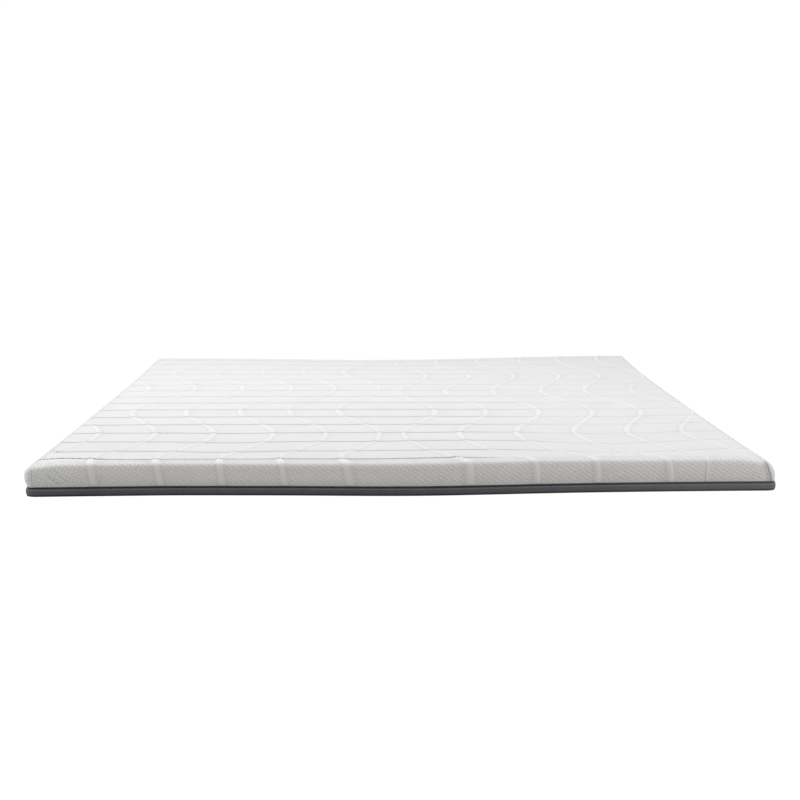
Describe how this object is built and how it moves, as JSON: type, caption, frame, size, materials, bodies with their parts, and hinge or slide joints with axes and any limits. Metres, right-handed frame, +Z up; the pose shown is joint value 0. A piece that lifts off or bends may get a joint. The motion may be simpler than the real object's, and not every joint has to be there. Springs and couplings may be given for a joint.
{
  "type": "thin latex mattress in a knitted cover",
  "caption": "Thin latex mattress in a white knitted cover with raised wave ribs and channels across it, soft shoulders and a dark side band round its foot.",
  "frame": {"origin": "middle of the underside, on the surface that the mattress lies on", "axes": "+X across the bed, +Y towards the head end, +Z up"},
  "size_m": [1.5226, 2.0288, 0.0671],
  "materials": {
    "white_knit": "soft white double knit with raised ribs, matte",
    "dark_tape": "near-black woven tape, matte",
    "grey_band": "dark grey woven band with a row of light stitches, matte",
    "base_cloth": "plain dark woven cloth, matte"
  },
  "bodies": {
    "root": {"knit_cover": "white_knit", "seam_tape": "dark_tape", "side_band": "grey_band", "bottom_panel": "base_cloth"}
  },
  "joints": []
}
